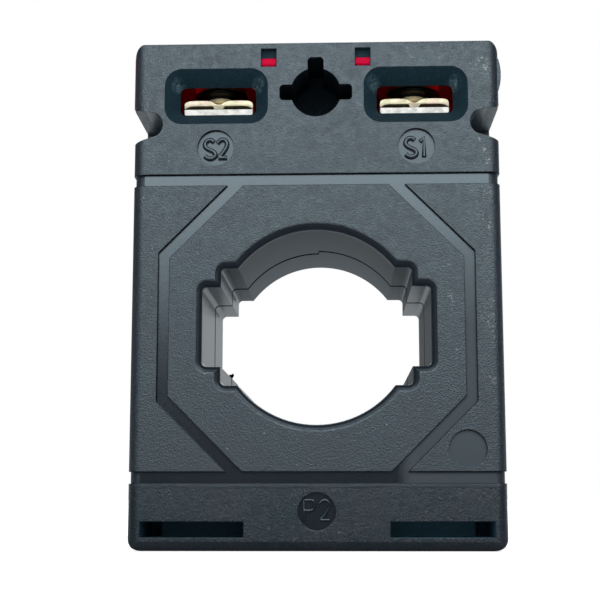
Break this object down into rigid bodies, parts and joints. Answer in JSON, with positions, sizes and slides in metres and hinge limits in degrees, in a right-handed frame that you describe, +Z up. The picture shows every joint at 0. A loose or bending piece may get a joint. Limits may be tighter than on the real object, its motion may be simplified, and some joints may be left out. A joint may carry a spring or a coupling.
{
  "type": "current transformer",
  "caption": "Moulded-case window current transformer with a stepped busbar aperture, recessed screw terminals under sliding red covers, keyhole pockets and a grooved face",
  "frame": {"origin": "centre of the bounding box at the bottom edge, on the floor", "axes": "+Z up along the tall side, +Y along the aperture away from the P2 face, +X towards terminal S1"},
  "size_m": [0.068, 0.041, 0.0924],
  "materials": {
    "case_plastic": "fine spark-eroded texture, satin grooves",
    "red_plastic": "smooth moulded",
    "core_steel": "wound strip",
    "cap_plastic": "moulded",
    "winding_copper": "enamelled wire",
    "wrap_film": "insulating film",
    "tinned_plate": "bright tinned",
    "zinc_steel": "zinc plated",
    "yellow_zinc": "yellow zinc plated"
  },
  "bodies": {
    "case": {"front_shell": "case_plastic", "rear_shell": "case_plastic", "ring_core": "core_steel", "core_cap_front": "cap_plastic", "core_cap_rear": "cap_plastic", "secondary_winding": "winding_copper", "winding_band": "wrap_film", "winding_ring_front": "wrap_film", "winding_ring_rear": "wrap_film", "s1_plate": "tinned_plate", "s1_nut": "zinc_steel", "s1_lead": "winding_copper", "s2_plate": "tinned_plate", "s2_nut": "zinc_steel", "s2_lead": "winding_copper"},
    "s1_clamp": {"s1_saddle": "yellow_zinc"},
    "s1_screw": {"s1_screw": "yellow_zinc"},
    "s1_cover": {"s1_cover": "red_plastic"},
    "s2_clamp": {"s2_saddle": "yellow_zinc"},
    "s2_screw": {"s2_screw": "yellow_zinc"},
    "s2_cover": {"s2_cover": "red_plastic"}
  },
  "joints": [
    {"name": "s1_clamp_lift", "type": "slide", "parent": "case", "child": "s1_clamp", "axis": [0, 0, 1], "range_m": [0, 0.0022]},
    {"name": "s1_screw_turn", "type": "hinge", "parent": "s1_clamp", "child": "s1_screw", "pos_m": [0.0183, -0.0105, 0.0845], "axis": [0, 0, 1], "range_deg": [0, 1000]},
    {"name": "s1_cover_slide", "type": "slide", "parent": "case", "child": "s1_cover", "axis": [0, 1, 0], "range_m": [0, 0.044]},
    {"name": "s2_clamp_lift", "type": "slide", "parent": "case", "child": "s2_clamp", "axis": [0, 0, 1], "range_m": [0, 0.0022]},
    {"name": "s2_screw_turn", "type": "hinge", "parent": "s2_clamp", "child": "s2_screw", "pos_m": [-0.0183, -0.0105, 0.0845], "axis": [0, 0, 1], "range_deg": [0, 1000]},
    {"name": "s2_cover_slide", "type": "slide", "parent": "case", "child": "s2_cover", "axis": [0, 1, 0], "range_m": [0, 0.044]}
  ],
  "couplings": [
    {"joint": "s1_screw_turn", "follows": "s1_clamp_lift", "rad_per_m": 7854},
    {"joint": "s2_screw_turn", "follows": "s2_clamp_lift", "rad_per_m": 7854}
  ]
}
